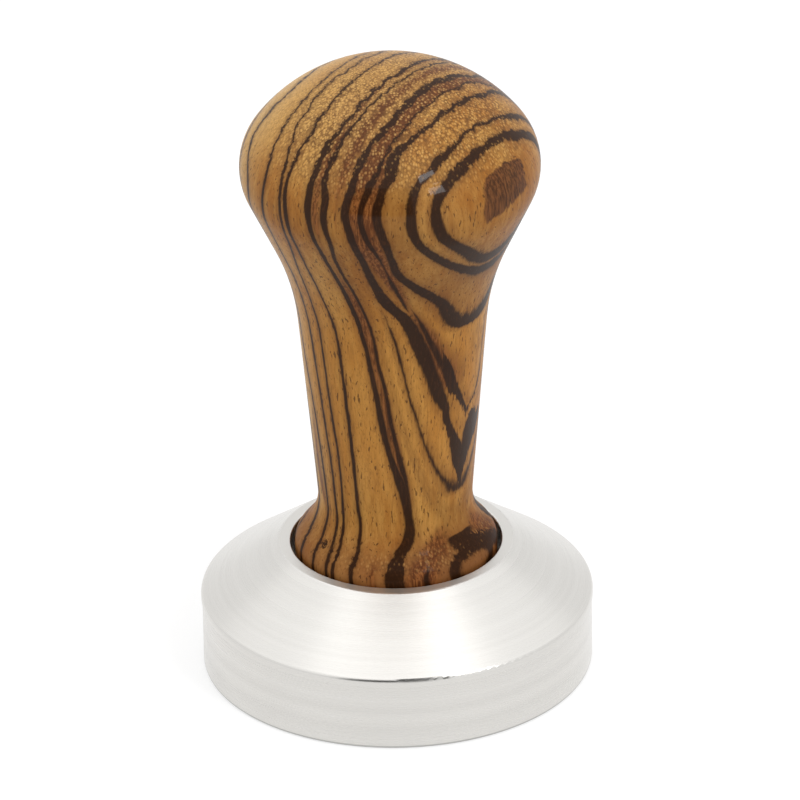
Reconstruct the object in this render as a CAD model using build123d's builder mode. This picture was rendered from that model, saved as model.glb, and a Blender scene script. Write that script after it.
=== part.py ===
from build123d import *
import os
from math import ceil, cos, floor, radians, sin, tan

# Espresso tamper. Millimetres, +Z up, origin at the centre of the flat tamping face, which lies on Z = 0.
# A turned steel piston carries a screwed-in stud. A turned wooden handle holds a brass insert, which screws
# onto the stud. A captive washer on the insert's collar beds the handle's foot in the piston's well.

# ---- driving dimensions: piston ----
wall_radius = 28.85  # side wall that runs in the filter basket
rim_radius = 29.0  # bead at the top of the side wall
wall_height = 9.9  # from the tamping face to the foot of the bead
bead_step_height = 0.35  # height over which the wall steps out to the bead
rim_height = 11.3  # where the bead would meet the cone, before rounding
rim_edge_radius = 0.75
piston_height = 19.45  # tamping face to lip
lip_width = 1.75  # from the wall of the well to the corner of the cone
lip_round_radius = 0.5  # between the cone and the lip
lip_edge_radius = 0.3
face_edge_radius = 0.4
well_depth = 6.45
hole_floor_thickness = 3.0  # steel left under the stud's hole

# ---- driving dimensions: thread (M10 x 1.5) ----
thread_radius = 5.0
thread_pitch = 1.5
thread_depth = 0.92  # from crest to root
thread_half_angle = 30.0
thread_clearance = 0.1  # between the stud and its holes, all round
thread_lead_in = 0.9
drill_allowance = 0.08  # by which a hole's drill is under the crests of its thread

# ---- driving dimensions: stud ----
stud_length = 25.0
stud_end_gap = 0.2  # between the stud and the floor of its hole
hex_key_across_flats = 5.0
hex_key_depth = 4.0

# ---- driving dimensions: washer ----
washer_thickness = 1.5
washer_side_gap = 1.45  # between the washer and the wall of the well
washer_gap = 0.1  # between the washer and the collar that holds it

# ---- driving dimensions: handle, from its underside up ----
foot_radius = 14.95
foot_gap = 0.6  # between the foot and the wall of the well
foot_chamfer = 0.4
foot_wall_height = 6.0  # straight wall, to the corner of the flare
flare_height = 4.35  # flare's corner to the waist
waist_radius = 11.12
neck_height = 37.9  # waist to the corner under the head
neck_top_radius = 14.35
head_height = 18.1  # corner under the head to the corner of the crown
head_radius = 22.95
crown_height = 15.15
flare_round_radius = 3.2
waist_round_radius = 7.5
neck_round_radius = 36.5
head_round_radius = 9.4

# ---- driving dimensions: insert ----
insert_radius = 7.5
insert_length = 17.0  # the stretch inside the handle
collar_radius = 8.5
collar_thickness = 1.2
collar_bead_radius = 8.9  # keeps the washer on the collar
collar_bead_thickness = 0.3
glue_groove_width = 1.2
glue_groove_depth = 0.4
glue_groove_spacing = 4.0
glue_groove_count = 4
glue_gap = 0.05  # between the insert and the wood
driver_slot_width = 1.6
driver_slot_depth = 0.8
bore_end_gap = 0.5  # between the insert and the end of its bore
drill_point_angle = 118.0

# ---- sizes worked out from them ----
well_radius = foot_radius + foot_gap
lip_outer_radius = well_radius + lip_width
well_floor_z = piston_height - well_depth
foot_z = well_floor_z + washer_thickness
flare_z = foot_z + foot_wall_height
waist_z = flare_z + flare_height
neck_top_z = waist_z + neck_height
head_z = neck_top_z + head_height
crown_z = head_z + crown_height
washer_outer_radius = well_radius - washer_side_gap
insert_top_z = foot_z + insert_length
collar_z = foot_z - collar_thickness
bore_radius = insert_radius + glue_gap
first_hole_turn = ceil(hole_floor_thickness / thread_pitch)
stud_z = first_hole_turn * thread_pitch + stud_end_gap
stud_top_z = stud_z + stud_length

# ---- thread sections worked out from them ----
flank_slope = tan(radians(thread_half_angle))
stud_root_radius = thread_radius - thread_depth
stud_crest_half = thread_pitch / 16  # half the width of the crest's flat
hole_crest_radius = stud_root_radius + 2 * thread_clearance
hole_root_radius = thread_radius + thread_clearance
hole_root_half = stud_crest_half + thread_clearance * (1 - flank_slope)
drill_radius = hole_crest_radius - drill_allowance
spiral_steps = 8  # stretches in which a flank's spiral is drawn


def spiral(start_radius, end_radius, start_angle, end_angle):
    """A flank of the thread, cut square to the axis: its radius grows evenly with the angle."""
    points = []
    for step in range(spiral_steps + 1):
        share = step / spiral_steps
        radius = start_radius + (end_radius - start_radius) * share
        angle = radians(start_angle + (end_angle - start_angle) * share)
        points.append((radius * cos(angle), radius * sin(angle)))
    return Spline(*points)


def threaded_rod(outer_radius, inner_radius, outer_half, first_turn, last_turn):
    """A right-hand threaded rod on Z, from one whole turn above Z = 0 to another.

    Each turn is the thread's cross-section, twisted once round over one pitch. Turns counted from one
    plane keep every thread here in phase, so they mesh, and stay in mesh when one is screwed along another.
    """
    outer_angle = 360 * outer_half / thread_pitch
    flank_angle = 360 * (outer_radius - inner_radius) * flank_slope / thread_pitch
    inner_angle = outer_angle + flank_angle
    low_z = first_turn * thread_pitch
    with BuildSketch(Plane.XY.offset(low_z)) as section:
        with BuildLine():
            CenterArc((0, 0), outer_radius, -outer_angle, 2 * outer_angle)
            spiral(outer_radius, inner_radius, outer_angle, inner_angle)
            CenterArc((0, 0), inner_radius, inner_angle, 360 - 2 * inner_angle)
            spiral(inner_radius, outer_radius, 360 - inner_angle, 360 - outer_angle)
        make_face()
    axis_line = Line((0, 0, low_z), (0, 0, low_z + thread_pitch))
    guide = Helix(thread_pitch, thread_pitch, outer_radius, center=(0, 0, low_z))
    with BuildPart() as one_turn:
        sweep(section.sketch, path=axis_line, binormal=guide)
    with BuildPart() as rod:
        with Locations(*[(0, 0, turn * thread_pitch) for turn in range(last_turn - first_turn)]):
            add(one_turn.part)
    return rod.part


def tap(first_turn, high_z):
    """What a tap takes out, from a whole turn to at least one turn above high_z."""
    last_turn = ceil(high_z / thread_pitch) + 1
    return threaded_rod(hole_root_radius, hole_crest_radius, hole_root_half, first_turn, last_turn)


def corner(section, radius, height):
    """The corner of a half section that lies nearest to this radius and height."""
    return section.vertices().sort_by_distance((radius, height, 0))[0]


# the threads, made outside the pieces that they are cut into
stud_thread = threaded_rod(
    thread_radius,
    stud_root_radius,
    stud_crest_half,
    floor(stud_z / thread_pitch) - 1,
    ceil(stud_top_z / thread_pitch) + 1,
)
piston_tap = tap(first_hole_turn, well_floor_z)
insert_tap = tap(floor(collar_z / thread_pitch) - 1, insert_top_z)

# ---- piston: one piece of turned steel ----
with BuildPart() as piston_base:
    with BuildSketch(Plane.XZ) as piston_section:
        with BuildLine():
            Polyline(
                (0, 0),
                (wall_radius, 0),
                (wall_radius, wall_height),
                (rim_radius, wall_height + bead_step_height),
                (rim_radius, rim_height),
                (lip_outer_radius, piston_height),
                (well_radius, piston_height),
                (well_radius, well_floor_z),
                (0, well_floor_z),
                close=True,
            )
        make_face()
        fillet(corner(piston_section, wall_radius, 0), face_edge_radius)
        fillet(corner(piston_section, rim_radius, rim_height), rim_edge_radius)
        fillet(corner(piston_section, lip_outer_radius, piston_height), lip_round_radius)
        fillet(corner(piston_section, well_radius, piston_height), lip_edge_radius)
    revolve(axis=Axis.Z)
    with BuildSketch(Plane.XY.offset(hole_floor_thickness)):
        Circle(drill_radius)
    extrude(until=Until.LAST, mode=Mode.SUBTRACT)
    add(piston_tap, mode=Mode.SUBTRACT)
piston_base.part.label = "piston_base"

# ---- stud: threaded rod with chamfered ends and a hexagon socket in its top ----
with BuildPart() as stud:
    with BuildSketch(Plane.XY.offset(stud_z)):
        Circle(thread_radius + thread_lead_in)
    extrude(amount=stud_length)
    chamfer(stud.edges().filter_by(GeomType.CIRCLE), 2 * thread_lead_in)
    add(stud_thread, mode=Mode.INTERSECT)
    with BuildSketch(Plane.XY.offset(stud_top_z)):
        RegularPolygon(hex_key_across_flats / 2, 6, major_radius=False)
    extrude(amount=-hex_key_depth, mode=Mode.SUBTRACT)
stud.part.label = "stud"

# ---- washer: held on the insert's collar by a bead, so that it lifts with the handle ----
with BuildPart() as friction_washer:
    bead_room_z = collar_z + collar_bead_thickness + washer_gap
    with BuildSketch(Plane.XZ):
        with BuildLine():
            Polyline(
                (collar_bead_radius + washer_gap, well_floor_z),
                (washer_outer_radius, well_floor_z),
                (washer_outer_radius, foot_z),
                (collar_radius + washer_gap, foot_z),
                (collar_radius + washer_gap, bead_room_z),
                (collar_bead_radius + washer_gap, bead_room_z),
                close=True,
            )
        make_face()
    revolve(axis=Axis.Z)
friction_washer.part.label = "friction_washer"

# ---- insert: brass bush with a collar, glued into the handle and threaded inside ----
with BuildPart() as threaded_insert:
    with BuildSketch(Plane.XZ):
        with BuildLine():
            Polyline(
                (drill_radius + thread_lead_in, collar_z),
                (collar_bead_radius, collar_z),
                (collar_bead_radius, collar_z + collar_bead_thickness),
                (collar_radius, collar_z + collar_bead_thickness),
                (collar_radius, foot_z),
                (insert_radius, foot_z),
                (insert_radius, insert_top_z),
                (drill_radius, insert_top_z),
                (drill_radius, collar_z + thread_lead_in),
                close=True,
            )
        make_face()
    revolve(axis=Axis.Z)
    grooved_length = (glue_groove_count - 1) * glue_groove_spacing
    first_groove_z = foot_z + (insert_length - grooved_length) / 2
    groove_heights = [first_groove_z + number * glue_groove_spacing for number in range(glue_groove_count)]
    with BuildSketch(Plane.XZ):
        with Locations(*[(insert_radius, height) for height in groove_heights]):
            Rectangle(2 * glue_groove_depth, glue_groove_width)
    revolve(axis=Axis.Z, mode=Mode.SUBTRACT)
    with BuildSketch(Plane.XY.offset(collar_z)):
        Rectangle(2 * collar_bead_radius, driver_slot_width)
    extrude(amount=driver_slot_depth, mode=Mode.SUBTRACT)
    add(insert_tap, mode=Mode.SUBTRACT)
threaded_insert.part.label = "threaded_insert"

# ---- handle: turned wood with a domed crown, a waist and a blind bore for the insert ----
with BuildPart() as handle:
    with BuildSketch(Plane.XZ) as handle_section:
        with BuildLine():
            crown = TangentArc((0, crown_z), (head_radius, head_z), tangent=(1, 0))
            Polyline(
                crown @ 1,
                (neck_top_radius, neck_top_z),
                (waist_radius, waist_z),
                (foot_radius, flare_z),
                (foot_radius, foot_z),
                (0, foot_z),
                crown @ 0,
            )
        make_face()
        chamfer(corner(handle_section, foot_radius, foot_z), foot_chamfer)
        fillet(corner(handle_section, foot_radius, flare_z), flare_round_radius)
        fillet(corner(handle_section, waist_radius, waist_z), waist_round_radius)
        fillet(corner(handle_section, neck_top_radius, neck_top_z), neck_round_radius)
        fillet(corner(handle_section, head_radius, head_z), head_round_radius)
    revolve(axis=Axis.Z)
    bore_top_z = insert_top_z + bore_end_gap
    drill_point_height = bore_radius / tan(radians(drill_point_angle / 2))
    with BuildSketch(Plane.XZ):
        with BuildLine():
            Polyline(
                (0, foot_z),
                (bore_radius, foot_z),
                (bore_radius, bore_top_z),
                (0, bore_top_z + drill_point_height),
                close=True,
            )
        make_face()
    revolve(axis=Axis.Z, mode=Mode.SUBTRACT)
handle.part.label = "handle"

os.makedirs("parts", exist_ok=True)
for piece in (piston_base, stud, friction_washer, threaded_insert, handle):
    export_step(piece.part, f"parts/{piece.part.label}.step")
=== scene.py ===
import math

import bpy
from mathutils import Matrix, Vector


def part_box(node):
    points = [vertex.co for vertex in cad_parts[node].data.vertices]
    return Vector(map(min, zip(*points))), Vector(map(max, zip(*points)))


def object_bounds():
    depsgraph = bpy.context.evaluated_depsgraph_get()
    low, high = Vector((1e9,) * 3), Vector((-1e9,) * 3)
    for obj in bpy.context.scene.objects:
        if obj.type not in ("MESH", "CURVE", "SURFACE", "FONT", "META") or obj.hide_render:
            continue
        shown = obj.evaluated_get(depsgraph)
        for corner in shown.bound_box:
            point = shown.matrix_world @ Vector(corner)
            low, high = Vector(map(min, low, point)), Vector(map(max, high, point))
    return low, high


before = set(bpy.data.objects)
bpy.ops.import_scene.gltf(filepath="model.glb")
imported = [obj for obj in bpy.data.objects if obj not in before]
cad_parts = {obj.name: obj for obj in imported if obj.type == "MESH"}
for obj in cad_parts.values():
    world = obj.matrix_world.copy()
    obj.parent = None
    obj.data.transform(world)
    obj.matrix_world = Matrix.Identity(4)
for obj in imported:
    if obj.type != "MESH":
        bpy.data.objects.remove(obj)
cad_low, cad_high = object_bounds()

MM = 0.001                      # metres in a millimetre
HANDLE_LOW, HANDLE_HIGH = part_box("handle")
BASE_LOW, BASE_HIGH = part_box("piston_base")


# ---------------------------------------------------------------------------
# Camera: a long lens from the front, a third of a right angle above the counter
# ---------------------------------------------------------------------------

CAMERA_DISTANCE = 1.2           # from the centre of the tamping face
CAMERA_ELEVATION = math.radians(29.1)
CAMERA_TARGET = Vector((0.0009, 0.0, 0.0422))
CAMERA_ROLL = math.radians(0.93)    # the camera leans a little to its right
LENS_MM = 363.0

camera_data = bpy.data.cameras.new("camera")
camera_data.lens = LENS_MM
camera_data.sensor_width = 36.0
camera_data.clip_start = 0.05
camera_data.clip_end = 50.0
camera = bpy.data.objects.new("camera", camera_data)
bpy.context.scene.collection.objects.link(camera)
camera_way = Vector((0.0, -math.cos(CAMERA_ELEVATION), math.sin(CAMERA_ELEVATION)))
camera.location = camera_way * CAMERA_DISTANCE
aim = (CAMERA_TARGET - camera.location).to_track_quat("-Z", "Y").to_matrix()
camera.rotation_euler = (aim @ Matrix.Rotation(-CAMERA_ROLL, 3, "Z")).to_euler()
bpy.context.scene.camera = camera
bpy.context.scene.view_settings.view_transform = "Standard"


# ---------------------------------------------------------------------------
# Short ways to write node materials
# ---------------------------------------------------------------------------

def srgb(red, green, blue):
    """A colour given as 0 to 255 display values, as the linear colour that the shaders take."""
    def linear(value):
        value /= 255
        return value / 12.92 if value <= 0.04045 else ((value + 0.055) / 1.055) ** 2.4
    return (linear(red), linear(green), linear(blue), 1.0)


class Graph:
    """Adds linked nodes to one node tree.

    An input may be a number, a colour, a vector or another node's output.
    """

    def __init__(self, tree):
        self.tree = tree
        tree.nodes.clear()

    def put(self, socket, value):
        if isinstance(value, bpy.types.NodeSocket):
            self.tree.links.new(value, socket)
        elif value is not None:
            socket.default_value = value

    def node(self, kind, inputs=(), **settings):
        made = self.tree.nodes.new(kind)
        for name, value in settings.items():
            setattr(made, name, value)
        for name, value in dict(inputs).items():
            self.put(made.inputs[name], value)
        return made

    def math(self, operation, a, b=None, c=None):
        made = self.node("ShaderNodeMath", operation=operation)
        for socket, value in zip(made.inputs, (a, b, c)):
            self.put(socket, value)
        return made.outputs[0]

    def add(self, *terms):
        total = terms[0]
        for term in terms[1:]:
            total = self.math("ADD", total, term)
        return total

    def mul(self, *factors):
        product = factors[0]
        for factor in factors[1:]:
            product = self.math("MULTIPLY", product, factor)
        return product

    def vector(self, operation, a, b=None):
        made = self.node("ShaderNodeVectorMath", operation=operation)
        self.put(made.inputs[0], a)
        self.put(made.inputs[1], b)
        return made.outputs["Value"] if operation in ("DOT_PRODUCT", "LENGTH") else made.outputs["Vector"]

    def stretch(self, vector, factors):
        return self.vector("MULTIPLY", vector, factors)

    def part(self, vector, axis):
        """One of a vector's parts, "X", "Y" or "Z"."""
        return self.node("ShaderNodeSeparateXYZ", {"Vector": vector}).outputs[axis]

    def noise(self, vector, scale=1.0, detail=2.0, roughness=0.5):
        made = self.node("ShaderNodeTexNoise", {"Vector": vector, "Scale": scale, "Detail": detail,
                                                "Roughness": roughness})
        return made.outputs["Fac"]

    def noise_line(self, place, scale=1.0, detail=2.0, roughness=0.5):
        made = self.node("ShaderNodeTexNoise", {"W": place, "Scale": scale, "Detail": detail,
                                                "Roughness": roughness}, noise_dimensions="1D")
        return made.outputs["Fac"]

    def ramp(self, value, low, high, to_low=0.0, to_high=1.0):
        """A smooth step of value from to_low at low to to_high at high."""
        made = self.node("ShaderNodeMapRange", {"Value": value, "From Min": low, "From Max": high,
                                                "To Min": to_low, "To Max": to_high},
                         interpolation_type="SMOOTHSTEP")
        return made.outputs["Result"]

    def between(self, value, start, full, fading, end):
        """1 from full to fading, 0 before start and after end, and smooth steps in between."""
        return self.mul(self.ramp(value, start, full), self.ramp(value, end, fading))

    def shift(self, noise, size):
        """Noise from 0 to 1 as a shift of up to half of size either way."""
        return self.mul(self.math("SUBTRACT", noise, 0.5), size)

    def mix(self, factor, a, b):
        made = self.node("ShaderNodeMix", data_type="RGBA")
        self.put(made.inputs["Factor"], factor)
        self.put(made.inputs[6], a)
        self.put(made.inputs[7], b)
        return made.outputs[2]

    def curve(self, value, points):
        """A smooth curve through points, each (value from 0 to 1, result from 0 to 1)."""
        made = self.node("ShaderNodeFloatCurve", {"Value": value, "Factor": 1.0})
        line = made.mapping.curves[0]
        for x, y in points[1:-1]:
            line.points.new(x, y)
        line.points[0].location = points[0]
        line.points[-1].location = points[-1]
        made.mapping.extend = "HORIZONTAL"
        made.mapping.use_clip = False
        made.mapping.update()
        return made.outputs["Value"]

    def bump(self, height, distance, strength=1.0):
        made = self.node("ShaderNodeBump", {"Height": height, "Distance": distance, "Strength": strength})
        return made.outputs["Normal"]

    def principled(self, **inputs):
        """The surface shader and the material's output. Names are the sockets', with _ for a space."""
        shader = self.node("ShaderNodeBsdfPrincipled", {k.replace("_", " "): v for k, v in inputs.items()})
        output = self.node("ShaderNodeOutputMaterial")
        self.tree.links.new(shader.outputs[0], output.inputs["Surface"])


def material(name):
    made = bpy.data.materials.new(name)
    made.use_nodes = True
    return made, Graph(made.node_tree)


def dress(node, made):
    """Gives a CAD node its material."""
    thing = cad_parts[node]
    thing.data.materials.clear()
    thing.data.materials.append(made)


def object_mm(graph):
    """The point on the piece in its own millimetres, so the figure stays in the piece when it moves."""
    place = graph.node("ShaderNodeTexCoord").outputs["Object"]
    return graph.stretch(place, (1 / MM,) * 3)


def facing_up(graph):
    """How far the surface faces up: 1 on a level top, 0 on a wall, -1 underneath."""
    return graph.part(graph.node("ShaderNodeTexCoord").outputs["Normal"], "Z")


# ---------------------------------------------------------------------------
# Zebrawood: growth layers cut by the turned surface
# ---------------------------------------------------------------------------
# The layers are nearly flat sheets that stand on edge. ACROSS is the direction through them and ALONG
# the level direction in them. A band is a dark layer: (height, place across, half width), all in mm,
# from the foot to the crown. A half width of zero or less ends the band.

ACROSS = Vector((0.789, -0.606, 0.101))
ALONG = Vector((0.609, 0.793, 0.0))
BAND_LOW, BAND_HIGH = -24.0, 34.0       # the places across that the band curves can reach
WIDTH_LOW, WIDTH_HIGH = -1.0, 2.0       # the half widths that they can reach
FIGURE_LOW = HANDLE_LOW.z / MM - 0.5    # the heights that they cover, from just under the foot
FIGURE_HIGH = HANDLE_HIGH.z / MM + 2.0  # to just over the crown

DARK_BANDS = [
    # thin lines, from the back round the left side to the front
    [(14, -17.0, 0.25), (50, -15.5, 0.3), (98, -16.0, 0.25)],
    [(14, -12.5, 0.25), (50, -12.2, 0.2), (98, -12.6, 0.25)],
    [(14, -8.1, 0.3), (22, -7.8, 0.3), (30, -5.8, 0.22), (56, -5.4, 0.17), (78, -5.8, 0.2),
     (83, -7.2, 0.2), (98, -7.6, 0.18)],
    [(14, -4.3, 0.3), (22, -4.2, 0.28), (28, -2.9, 0.24), (42, -1.9, 0.18), (56, -2.6, 0.17),
     (77, -2.8, 0.22), (82, -2.7, 0.22), (87, -4.7, 0.2), (92, -2.5, 0.17), (98, -2.0, 0.15)],
    [(14, -1.3, 0.3), (22, -1.2, 0.25), (28, -0.6, 0.22), (35, 0.2, 0.2), (48, 0.9, 0.18),
     (62, 1.1, 0.18), (77, 1.2, 0.2), (81, 1.6, 0.25), (85, 1.85, 0.2), (88, 1.5, 0.15), (95, 2.6, 0.12)],
    [(14, 0.0, 0.3), (22, 0.1, 0.27), (28, 0.8, 0.22), (35, 2.0, 0.2), (48, 2.9, 0.17), (58, 3.5, 0.15),
     (68, 3.6, 0.14), (75, 5.0, 0.2), (80, 5.3, 0.22), (86, 5.0, 0.2), (89, 4.5, 0.17), (92, 3.7, 0.13),
     (96, 4.8, 0.12)],
    [(14, 3.5, 0.35), (23, 3.4, 0.28), (28, 3.8, 0.23), (37, 5.0, 0.25), (50, 6.3, 0.2), (60, 6.8, 0.17),
     (66, 6.3, 0.14), (76, 6.4, 0.22), (80, 6.4, 0.35), (85, 6.1, 0.27), (90, 6.5, 0.2), (93, 6.9, 0.16),
     (97, 7.6, 0.14)],
    # the bold pair down the middle of the front
    [(14, 9.5, 1.1), (20, 9.5, 1.1), (23, 9.3, 0.8), (25, 9.9, 0.65), (28, 10.3, 0.45), (32, 10.7, 0.45),
     (35, 10.75, 0.45), (40, 10.6, 0.35), (45, 10.7, 0.4), (55, 11.05, 0.25), (65, 10.95, 0.35),
     (71, 10.9, 0.3), (79, 10.5, 0.35), (83, 10.25, 0.5), (89, 10.2, 0.45), (92, 10.7, 0.25),
     (97, 11.4, 0.25)],
    [(30, 11.0, -0.3), (35, 11.4, 0.2), (40, 11.7, 0.25), (45, 11.9, 0.2), (50, 12.2, 0.2),
     (55, 12.2, 0.17), (60, 12.5, 0.15), (68, 12.4, 0.2), (74, 12.4, 0.25), (77, 13.0, 0.3),
     (81, 12.7, 0.45), (84, 12.7, 0.5), (87, 11.9, 0.35), (91, 11.9, 0.25), (94, 12.4, 0.15),
     (97, 13.1, 0.13)],
    # the band that runs down to the flames
    [(44.5, 16.5, -0.3), (47, 16.8, 0.25), (49, 16.9, 0.45), (53, 17.1, 0.5), (58, 17.05, 0.65),
     (63, 16.8, 0.7), (66, 15.9, 0.75), (69, 15.85, 0.5), (75, 16.25, 0.45), (79, 16.2, 0.5),
     (83, 15.6, 0.5), (86, 15.8, 0.5), (90, 15.55, 0.42), (93, 16.2, 0.35), (95, 16.0, 0.4),
     (97, 15.8, 0.3)],
    # the three rings round the heart, the widest first
    [(58.5, 20.2, -0.6), (60.3, 20.1, 0.4), (62, 20.2, 0.45), (65, 20.5, 0.45), (69, 19.9, 0.6),
     (72, 19.3, 0.5), (75, 19.8, 0.4), (78, 20.1, 0.45), (83, 19.5, 0.5), (87, 19.5, 0.45),
     (90, 19.1, 0.5), (92, 20.0, 0.3), (97, 19.8, 0.15)],
    [(60, 23.6, 0.4), (67, 23.8, 0.3), (70, 24.1, 0.4), (75, 23.7, 0.45), (78, 23.35, 0.45),
     (83, 23.0, 0.45), (86, 22.8, 0.35), (88, 23.2, 0.45), (90, 23.4, 0.2), (97, 23.4, 0.15)],
    [(66, 24.8, 0.3), (72, 25.3, 0.35), (75, 25.8, 0.45), (79, 25.55, 0.5), (84, 25.15, 0.45),
     (87, 25.4, 0.55), (89, 25.6, 0.35), (97, 26.0, 0.2)],
    # short or faint ones: two at the foot, two in the brown bands and one up through the flames
    [(14, 14.9, 0.35), (20.5, 14.85, 0.3), (21.3, 14.75, 0.35), (22.7, 14.25, 0.3), (23.6, 13.6, 0.3),
     (24.4, 13.2, -0.4)],
    [(14, 12.9, 0.35), (20, 12.9, 0.2), (22, 12.9, -0.3)],
    [(64, 17.6, -0.2), (69, 17.8, 0.2), (73, 18.3, 0.05), (76, 18.5, 0.2), (79, 18.1, 0.35),
     (83, 17.6, 0.3), (86, 17.9, 0.4), (88, 17.95, 0.3), (90, 18.05, 0.17), (97, 17.7, 0.1)],
    [(50, 17.9, -0.2), (53, 18.05, 0.12), (58, 18.05, 0.2), (62, 18.1, 0.12), (66, 18.0, -0.6)],
    [(30.5, 14.0, -0.6), (32, 14.15, 0.12), (33, 14.25, 0.1), (35, 14.3, 0.08), (41, 14.45, 0.06),
     (50, 14.7, 0.08), (60, 14.9, 0.08), (66, 15.0, -0.6)],
]

BROWN_BANDS = [
    [(62, 17.8, -0.6), (68, 17.9, 0.5), (74, 17.9, 1.2), (79, 17.9, 1.8), (86, 17.6, 1.7),
     (90, 17.2, 1.1), (97, 17.2, 0.8)],
    [(74, 14.4, -0.6), (84, 14.3, 0.1), (91, 14.0, 0.6), (97, 14.2, 0.4)],
    [(49, 17.8, -0.5), (52, 17.9, 0.6), (54, 18.0, 0.7), (60, 18.0, 0.5), (65, 17.6, -0.4)],
    [(30, 11.2, -0.6), (36, 11.2, 0.4), (45, 11.5, 0.6), (55, 11.7, 0.6), (62, 11.8, 0.8),
     (68, 11.7, 0.4), (75, 11.6, -0.2), (80, 11.5, 0.5), (86, 11.3, 0.6), (92, 11.4, 0.1)],
    [(26, -3.6, -0.6), (34, -3.6, 0.6), (44, -2.8, -0.4)],
    [(14, 12.4, 1.7), (22, 12.4, 1.2), (25, 12.4, 0.3), (27, 12.4, -0.6)],
    [(14, 7.0, 0.9), (19, 6.6, 0.5), (23, 6.4, -0.6)],
]

# The two flames on the neck, one inside the other, as arms that cross the front of the layers. As
# above, but the second number is the place along the layers.
FLAME_ARMS = [
    # the outer flame's left arm, its right arm and a third that thickens the right one on its inner side
    [(31, 0.2, -0.6), (32.3, 0.1, 0.2), (34.2, -0.1, 0.75), (36.6, -0.7, 1.15), (39.2, -1.3, 1.1),
     (41.7, -2.4, 0.6), (44, -3.4, 0.6), (46.7, -3.9, 0.6), (48.5, -4.4, 0.4), (51, -4.9, -0.6)],
    [(31, 0.3, -0.6), (33.5, 0.3, 0.2), (35, 0.6, 0.6), (37, 1.2, 1.1), (38.5, 2.0, 1.5), (40, 3.0, 1.8),
     (41.3, 4.0, 1.4), (42.5, 4.8, 0.4), (44, 5.2, -0.8)],
    [(36, 0.8, -0.6), (37.5, 0.9, 0.8), (39.5, 1.4, 1.3), (41, 1.9, 1.5), (42.5, 2.4, 1.2),
     (43.8, 2.8, -0.6)],
    # the inner flame's left and right arms
    [(43, 0.6, -0.6), (44.6, 0.4, 0.25), (45.6, -0.3, 0.4), (47.2, -1.3, 0.6), (49.2, -2.6, 0.9),
     (51.6, -3.5, 0.9), (54, -4.3, 0.5), (57, -5.0, -0.6)],
    [(43, 0.8, -0.6), (44.6, 1.0, 0.2), (45.4, 2.2, 0.25), (46.5, 3.2, 0.2), (48.4, 4.0, 0.15),
     (50.6, 4.4, 0.12), (56, 5.0, 0.08), (60, 5.2, -0.6)],
]

# The layers bow. The bow is counted from this point, in units of about half the handle.
BOW_HEIGHT, BOW_HALF_HEIGHT = 55.0, 40.0
BOW_ACROSS, BOW_HALF_ACROSS = 6.0, 20.0
BOW_HALF_ALONG = 20.0

NECK_BULGE = 1.7                # how far the layers swell out on the right of the neck
FLAME_LAYER = 12.0              # the flames and the blotch lie in the layers beyond this one
OUTSIDE = -9.0                  # added to a patch's depth, it shuts the patch out
BLOTCH_LOW, BLOTCH_HIGH = 22.0, 24.0    # the heights of the dark blotch on the right of the foot
HEART_LAYER_LOW, HEART_LAYER_HIGH = 28.25, 27.6     # the heart's first layer, low and high on the head
HEART_HEIGHT = 80.0             # its lower edge
HEART_RIGHT = 4.6               # its right edge, along the layers
KNOT = (-10.5, -7.8, 22.6)      # a small knot at the foot

GOLD = srgb(174, 113, 46)
GOLD_PALE = srgb(206, 151, 76)
HONEY = srgb(208, 144, 62)
STRAW = srgb(226, 180, 108)
AMBER = srgb(122, 74, 32)
CLAY = srgb(140, 90, 52)
CHESTNUT = srgb(96, 56, 27)
UMBER = srgb(100, 66, 34)
RED_BROWN = srgb(84, 40, 17)
EMBER = srgb(150, 92, 48)
HEART_DARK, HEART_PALE = srgb(58, 30, 16), srgb(124, 76, 42)
DARK = srgb(44, 23, 9)
PORE = srgb(66, 38, 20)


def band_depth(graph, height, across, bands):
    """How deep the point lies inside the nearest band, in mm: positive inside, negative outside."""
    up = graph.math("DIVIDE", graph.math("SUBTRACT", height, FIGURE_LOW), FIGURE_HIGH - FIGURE_LOW)
    deepest = -99.0
    for band in bands:
        rise = [(z - FIGURE_LOW) / (FIGURE_HIGH - FIGURE_LOW) for z, _, _ in band]
        centre = [(x, (place - BAND_LOW) / (BAND_HIGH - BAND_LOW)) for x, (_, place, _) in zip(rise, band)]
        width = [(x, (half - WIDTH_LOW) / (WIDTH_HIGH - WIDTH_LOW)) for x, (_, _, half) in zip(rise, band)]
        middle = graph.math("MULTIPLY_ADD", graph.curve(up, centre), BAND_HIGH - BAND_LOW, BAND_LOW)
        half = graph.math("MULTIPLY_ADD", graph.curve(up, width), WIDTH_HIGH - WIDTH_LOW, WIDTH_LOW)
        off = graph.math("ABSOLUTE", graph.math("SUBTRACT", across, middle))
        deepest = graph.math("MAXIMUM", deepest, graph.math("SUBTRACT", half, off))
    return deepest


wood, g = material("zebrawood")
point = object_mm(g)
height = g.part(point, "Z")
across = g.vector("DOT_PRODUCT", point, tuple(ACROSS))
along = g.vector("DOT_PRODUCT", point, tuple(ALONG))

# Pores and fibres run up the handle: grains where the surface cuts across them, streaks along its sides.
cut_across = g.ramp(g.math("ABSOLUTE", facing_up(g)), 0.38, 0.8)
fibre = g.stretch(point, (1.0, 1.0, 0.09))
streak = g.noise(fibre, 3.0, 4.0, 0.65)
coarse = g.noise(fibre, 0.9, 3.0, 0.6)
cells = g.node("ShaderNodeTexVoronoi", {"Vector": g.stretch(point, (1.0, 1.0, 0.14)), "Scale": 2.6})
grains = g.ramp(cells.outputs["Distance"], 0.2, 0.62, 1.0, 0.0)
luck_kink, luck_dot, luck_net = (g.part(cells.outputs["Color"], axis) for axis in "XYZ")

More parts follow.
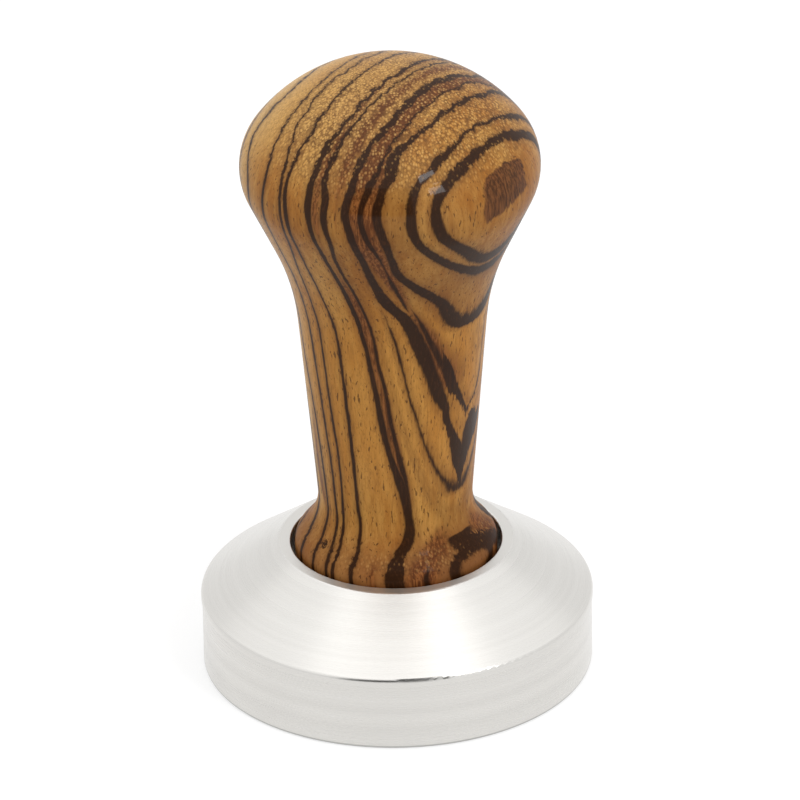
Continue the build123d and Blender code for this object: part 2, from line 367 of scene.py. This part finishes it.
# the layer that the point lies in: the place across, bowed, bulged and roughened
rise = g.math("DIVIDE", g.math("SUBTRACT", height, BOW_HEIGHT), BOW_HALF_HEIGHT)
side = g.math("DIVIDE", along, BOW_HALF_ALONG)
deep = g.math("DIVIDE", g.math("SUBTRACT", across, BOW_ACROSS), BOW_HALF_ACROSS)
layer = g.add(across, rise, g.mul(rise, rise, -1.2), g.mul(side, side, 0.5), g.mul(side, rise, 0.3),
              g.mul(deep, rise, -1.2))
bulge = g.mul(g.ramp(along, -1.5, 3.5), g.between(height, 44.0, 47.0, 55.0, 59.0),
              g.ramp(across, 6.0, 10.5), NECK_BULGE)
kink = g.noise(point, 0.4, 2.0)
sway = g.noise(g.stretch(point, (1.0, 1.0, 0.3)), 0.22, 2.0)
layer = g.add(layer, bulge, g.shift(sway, 0.3), g.mul(g.shift(kink, 1.6), cut_across),
              g.mul(g.shift(coarse, 1.0), g.ramp(cut_across, 0.0, 1.0, 0.3, 0.5)),
              g.mul(g.shift(luck_kink, 1.0), g.ramp(cut_across, 0.0, 1.0, 0.05, 0.3)))

# how deep the point lies in the dark bands, the flames and the blotch at the foot, and in the brown bands
flame_side = g.ramp(layer, FLAME_LAYER - 0.5, FLAME_LAYER + 0.5, OUTSIDE, 0.0)
flame_jag = g.shift(streak, 3.0)
flames = band_depth(g, g.add(height, flame_jag), g.add(along, g.shift(coarse, 0.6)), FLAME_ARMS)
slant = g.add(height, g.mul(along, 0.35), flame_jag)
blotch = g.math("MINIMUM", g.math("SUBTRACT", BLOTCH_HIGH, slant), g.math("SUBTRACT", slant, BLOTCH_LOW))
blotch = g.math("MINIMUM", blotch, g.math("SUBTRACT", along, 0.3))
dark_depth = band_depth(g, height, layer, DARK_BANDS)
for patch in (flames, blotch):
    dark_depth = g.math("MAXIMUM", dark_depth, g.add(patch, flame_side))
brown_depth = band_depth(g, height, layer, BROWN_BANDS)

ragged = g.add(dark_depth, g.mul(g.shift(streak, 1.0), g.ramp(cut_across, 0.0, 1.0, 0.35, 0.3)))
speckled = g.mul(g.ramp(luck_dot, 0.75, 0.85), cut_across, grains, 0.35)
core = g.mul(g.ramp(ragged, -0.19, 0.09), g.math("SUBTRACT", 1.0, speckled))
halo = g.ramp(ragged, -1.0, 0.1)
brown = g.ramp(g.add(brown_depth, g.shift(coarse, 1.6)), -0.6, 0.5)

# the pale wood between the bands, with painted light on the left side and the crown and painted shade under
# the head
tone = g.noise(g.stretch(point, (1.0, 1.0, 0.25)), 0.13, 3.0, 0.55)
body = g.mix(g.ramp(g.add(tone, g.mul(coarse, 0.6)), 0.6, 1.0), GOLD, GOLD_PALE)
head = g.mul(g.between(height, 60.0, 76.0, 84.0, 90.0), g.ramp(layer, 6.0, 12.0))
body = g.mix(g.mul(head, 0.2), body, AMBER)
neck = g.between(height, 26.0, 40.0, 58.0, 70.0)
body = g.mix(g.mul(neck, 0.5), body, HONEY)
# the left side is paler wood with painted light from the upper left on it; the crown's paleness is painted
# light and sheen from above
pale_and_lit_left = g.mul(g.ramp(layer, 2.0, -6.5), g.ramp(height, 22.0, 34.0))
painted_crown_light = g.mul(g.ramp(height, 82.0, 94.0), g.ramp(layer, 24.0, 10.0), 0.7)
body = g.mix(g.mul(g.add(pale_and_lit_left, painted_crown_light), 0.75), body, STRAW)
foot = g.mul(g.ramp(height, 29.0, 20.0), g.ramp(layer, 8.0, 12.0, 0.75, 0.9))
body = g.mix(foot, body, CLAY)
# darker under the head, as painted shade over browner wood, and darker between the rings
shade_and_brown_under_head = g.mul(g.between(height, 60.0, 66.0, 68.0, 74.0), g.ramp(layer, 17.0, 20.0))
between_rings = g.mul(g.between(height, 74.0, 79.0, 84.0, 90.0), g.between(layer, 19.3, 20.3, 21.8, 23.0))
body = g.mix(g.mul(g.math("MAXIMUM", shade_and_brown_under_head, between_rings), 0.42), body, AMBER)
grit = g.noise(g.stretch(point, (1.0, 1.0, 0.3)), 4.0, 3.0, 0.7)
body = g.mix(g.ramp(grit, 0.5, 0.75, 0.0, 0.5), body, AMBER)
body = g.mix(g.mul(g.ramp(streak, 0.45, 0.75), g.ramp(cut_across, 0.0, 1.0, 0.4, 0.15)), body, AMBER)
body = g.mix(g.mul(halo, 0.45), body, CHESTNUT)
body = g.mix(g.mul(brown, 0.85), body, g.mix(g.ramp(streak, 0.42, 0.62), RED_BROWN, EMBER))

# each grain is a pale dot in a darker net, a little lighter or darker than the next one
net = g.mix(g.ramp(luck_net, 0.0, 1.0, 0.3, 0.85), body, UMBER)
net = g.mix(g.mul(brown, 0.6), net, RED_BROWN)
dot = g.mix(g.ramp(luck_dot, 0.2, 1.0, 0.05, 0.45), body, STRAW)
grainy = g.mul(cut_across, g.ramp(layer, -2.0, 8.0, 0.35, 1.0), g.ramp(height, 20.0, 50.0, 0.7, 1.0))
body = g.mix(grainy, body, g.mix(grains, net, dot))

# the dark heart where the turned surface cuts the last layer, and one knot at the foot
jag = g.shift(streak, 2.4)
heart = g.math("SUBTRACT", layer, g.ramp(height, 82.0, 86.0, HEART_LAYER_LOW, HEART_LAYER_HIGH))
heart = g.math("MINIMUM", heart, g.mul(g.add(height, jag, g.mul(along, -0.25), -HEART_HEIGHT), 0.3))
heart = g.math("MINIMUM", heart, g.mul(g.math("SUBTRACT", HEART_RIGHT, g.add(along, jag)), 0.2))
heart = g.ramp(heart, -0.05, 0.12)
knot = g.vector("LENGTH", g.vector("SUBTRACT", point, KNOT))
knot = g.ramp(g.add(knot, g.shift(streak, 3.0)), 0.8, 0.25)

figure = g.mix(g.mul(heart, 0.92), body, g.mix(g.ramp(streak, 0.38, 0.68), HEART_DARK, HEART_PALE))
ink = g.mix(g.mul(g.ramp(streak, 0.5, 0.75), 0.35), DARK, CHESTNUT)
figure = g.mix(g.mul(g.math("MAXIMUM", core, knot), 0.97), figure, ink)
pores = g.mul(g.ramp(g.noise(g.stretch(point, (1.0, 1.0, 0.25)), 3.0, 1.0, 0.5), 0.64, 0.70),
              g.ramp(cut_across, 0.0, 1.0, 0.7, 0.2))
figure = g.mix(pores, figure, PORE)

g.principled(
    Base_Color=figure,
    Roughness=g.ramp(streak, 0.2, 0.8, 0.42, 0.55),
    IOR=1.45,
    Specular_IOR_Level=0.06,
    Normal=g.bump(g.add(g.mul(pores, -1.0), g.mul(grains, cut_across, 0.6)), 0.03 * MM, 0.6),
    Coat_Weight=g.ramp(height, 26.0, 36.0, 0.04, 0.19),
    Coat_Roughness=0.05,
)
dress("handle", wood)


# ---------------------------------------------------------------------------
# Turned steel, machined steel, brass, washer
# ---------------------------------------------------------------------------

RIM_RADIUS = BASE_HIGH.x / MM
FACE_EDGE_HEIGHT = BASE_LOW.z / MM + 0.5        # just above the rounded edge of the tamping face

steel, g = material("turned_steel")
point = object_mm(g)
height = g.part(point, "Z")
radius = g.vector("LENGTH", g.stretch(point, (1.0, 1.0, 0.0)))
feed = g.math("SUBTRACT", radius, height)       # grows along the cone, the lip and the wall
turning = g.noise_line(feed, 9.0, 4.0, 0.7)
broad = g.noise_line(feed, 0.6, 2.0, 0.5)
flat = g.ramp(facing_up(g), 0.93, 0.99)
# the bottom edge of the tamping face is painted darker: a painted reflection of the shadowed floor at the
# contact
edge = g.ramp(height, FACE_EDGE_HEIGHT, FACE_EDGE_HEIGHT - 0.2)
smooth_rim = g.ramp(radius, RIM_RADIUS - 0.3, RIM_RADIUS - 1.0, 0.2, 1.0)
tone = g.mix(g.ramp(g.add(turning, broad), 0.7, 1.3), srgb(217, 215, 211), srgb(212, 210, 206))
g.principled(
    Base_Color=g.mix(g.mul(edge, 0.8), tone, srgb(165, 165, 162)),
    Metallic=1.0,
    Roughness=g.add(g.ramp(turning, 0.3, 0.7, 0.25, 0.29), g.mul(flat, 0.14)),
    Anisotropic=0.5,
    Anisotropic_Rotation=0.25,
    Tangent=g.node("ShaderNodeTangent", direction_type="RADIAL", axis="Z").outputs[0],
    Normal=g.bump(g.mul(turning, smooth_rim), 0.002 * MM),
)
dress("piston_base", steel)


def machined(name, pale, dark, scale, roughness):
    """A metal mottled between two colours and two roughnesses, in patches half as high as they are wide."""
    made, graph = material(name)
    mottle = graph.noise(graph.stretch(object_mm(graph), (1.0, 1.0, 2.0)), scale, 3.0)
    graph.principled(
        Base_Color=graph.mix(mottle, pale, dark),
        Metallic=1.0,
        Roughness=graph.ramp(mottle, 0.3, 0.7, *roughness),
    )
    return made


stud_steel = machined("machined_steel", srgb(188, 188, 188), srgb(158, 158, 160), 1.6, (0.3, 0.42))
dress("stud", stud_steel)

brass = machined("machined_brass", srgb(208, 172, 98), srgb(182, 144, 76), 1.2, (0.26, 0.4))
dress("threaded_insert", brass)

washer, g = material("washer_plastic")
grain = g.noise(object_mm(g), 6.0, 3.0)
g.principled(
    Base_Color=g.mix(grain, srgb(38, 38, 39), srgb(52, 52, 52)),
    Roughness=g.ramp(grain, 0.3, 0.7, 0.5, 0.65),
    Normal=g.bump(grain, 0.02 * MM, 0.4),
)
dress("friction_washer", washer)


# ---------------------------------------------------------------------------
# Stage and light: lengths in metres, strengths in watts
# ---------------------------------------------------------------------------

WHITE = (1.0, 1.0, 1.0, 1.0)
FLOOR_HALF = 4.0                # half the floor's side
FLOOR_DROP = 0.05 * MM          # how far the floor lies below the tamping face
FLOOR_GREY = 0.46
FLOOR_GLOW = 0.61               # lifts the grey to white where the floor is seen
WORLD_LIGHT = 0.7               # what the white surroundings give; where they are seen, they show at 1

OVERHEAD_TARGET = (0.0, 0.0, 0.05)
PANE_TARGET = Vector((0.0, 0.0, 0.08))
PANE_TURN = math.radians(39.0)  # to the right of the camera
PANE_DISTANCE = 1.03
PANE_WIDTH = 0.2
PANES = [                       # one window's panes: name, degrees up, height, watts
    ("upper_pane", 52.0, 0.05, 0.5),
    ("middle_pane", 45.5, 0.07, 0.6),
    ("lower_pane", 34.0, 0.16, 1.2),
]

CARD_LEFT, CARD_RIGHT, CARD_TOP = -0.86, 0.47, 2.2
CARD_DISTANCE = 1.3             # in front of the tamper, behind the camera
CARD_MIDDLE = -0.2              # it is darkest here and fades to both sides, to its top and at its foot
CARD_DARK_HALF, CARD_FADED_HALF = 0.5, 0.66
CARD_DARK_TOP, CARD_FADED_TOP = 0.9, 2.1
CARD_DARK_FOOT = 0.15


def seen_directly(graph):
    """1 for the rays that show the white surroundings, 0 for the light that these give.

    The rays that show them are those of the camera, of mirrors and of clear things.
    """
    path = graph.node("ShaderNodeLightPath").outputs
    return graph.math("MAXIMUM", graph.math("MAXIMUM", path["Is Camera Ray"], path["Is Glossy Ray"]),
                      path["Is Transmission Ray"])


def sheet(name, corners):
    """A flat thing with four corners, for the stage."""
    mesh = bpy.data.meshes.new(name)
    mesh.from_pydata(corners, [], [(0, 1, 2, 3)])
    made = bpy.data.objects.new(name, mesh)
    bpy.context.scene.collection.objects.link(made)
    return made


def softbox(name, place, target, size, watts):
    """A rectangular lamp that points at its target and isn't seen by the camera."""
    lamp = bpy.data.lights.new(name, "AREA")
    lamp.shape = "RECTANGLE"
    lamp.size, lamp.size_y = size
    lamp.energy = watts
    made = bpy.data.objects.new(name, lamp)
    bpy.context.scene.collection.objects.link(made)
    made.location = place
    made.rotation_euler = (Vector(target) - Vector(place)).to_track_quat("-Z", "Y").to_euler()
    made.visible_camera = False


floor = sheet("floor", [(-FLOOR_HALF, -FLOOR_HALF, 0), (FLOOR_HALF, -FLOOR_HALF, 0),
                        (FLOOR_HALF, FLOOR_HALF, 0), (-FLOOR_HALF, FLOOR_HALF, 0)])
floor.location.z = cad_low.z - FLOOR_DROP

paper, g = material("floor_paper")
diffuse = g.node("ShaderNodeBsdfDiffuse", {"Color": (FLOOR_GREY, FLOOR_GREY, FLOOR_GREY, 1.0)})
glow = g.node("ShaderNodeEmission", {"Color": WHITE, "Strength": g.mul(seen_directly(g), FLOOR_GLOW)})
both = g.node("ShaderNodeAddShader")
g.tree.links.new(diffuse.outputs[0], both.inputs[0])
g.tree.links.new(glow.outputs[0], both.inputs[1])
g.tree.links.new(both.outputs[0], g.node("ShaderNodeOutputMaterial").inputs["Surface"])
floor.data.materials.append(paper)

world = bpy.data.worlds.new("studio")
world.use_nodes = True
bpy.context.scene.world = world
g = Graph(world.node_tree)
brightness = g.ramp(seen_directly(g), 0.0, 1.0, WORLD_LIGHT, 1.0)
background = g.node("ShaderNodeBackground", {"Color": WHITE, "Strength": brightness})
g.tree.links.new(background.outputs[0], g.node("ShaderNodeOutputWorld").inputs["Surface"])

softbox("top_softbox", (0.0, 0.1, 1.25), OVERHEAD_TARGET, (1.3, 1.5), 2.2)
softbox("sky_softbox", (0.0, -0.1, 1.6), OVERHEAD_TARGET, (4.2, 4.2), 12.0)
for name, up, tall, watts in PANES:
    rise = math.radians(up)
    level = math.cos(rise)
    pane_way = Vector((math.sin(PANE_TURN) * level, -math.cos(PANE_TURN) * level, math.sin(rise)))
    softbox(name, pane_way * PANE_DISTANCE + PANE_TARGET, PANE_TARGET, (PANE_WIDTH, tall), watts)

# a dark card behind the camera, which only the metal and the lacquer mirror
card = sheet("dark_card", [(CARD_LEFT, 0, 0), (CARD_RIGHT, 0, 0), (CARD_RIGHT, 0, CARD_TOP),
                           (CARD_LEFT, 0, CARD_TOP)])
card.location = (0.0, -CARD_DISTANCE, 0.0)
card.visible_camera = False
card.visible_diffuse = False
card.visible_shadow = False

black, g = material("card_black")
place = g.node("ShaderNodeTexCoord").outputs["Object"]
card_height = g.part(place, "Z")
sideways = g.math("ABSOLUTE", g.math("SUBTRACT", g.part(place, "X"), CARD_MIDDLE))
fade = g.mul(g.ramp(card_height, CARD_FADED_TOP, CARD_DARK_TOP), g.ramp(card_height, 0.0, CARD_DARK_FOOT),
             g.ramp(sideways, CARD_FADED_HALF, CARD_DARK_HALF))
clear = g.node("ShaderNodeBsdfTransparent")
dull = g.node("ShaderNodeBsdfDiffuse", {"Color": srgb(30, 30, 30)})
veil = g.node("ShaderNodeMixShader", {"Fac": fade})
g.tree.links.new(clear.outputs[0], veil.inputs[1])
g.tree.links.new(dull.outputs[0], veil.inputs[2])
g.tree.links.new(veil.outputs[0], g.node("ShaderNodeOutputMaterial").inputs["Surface"])
card.data.materials.append(black)
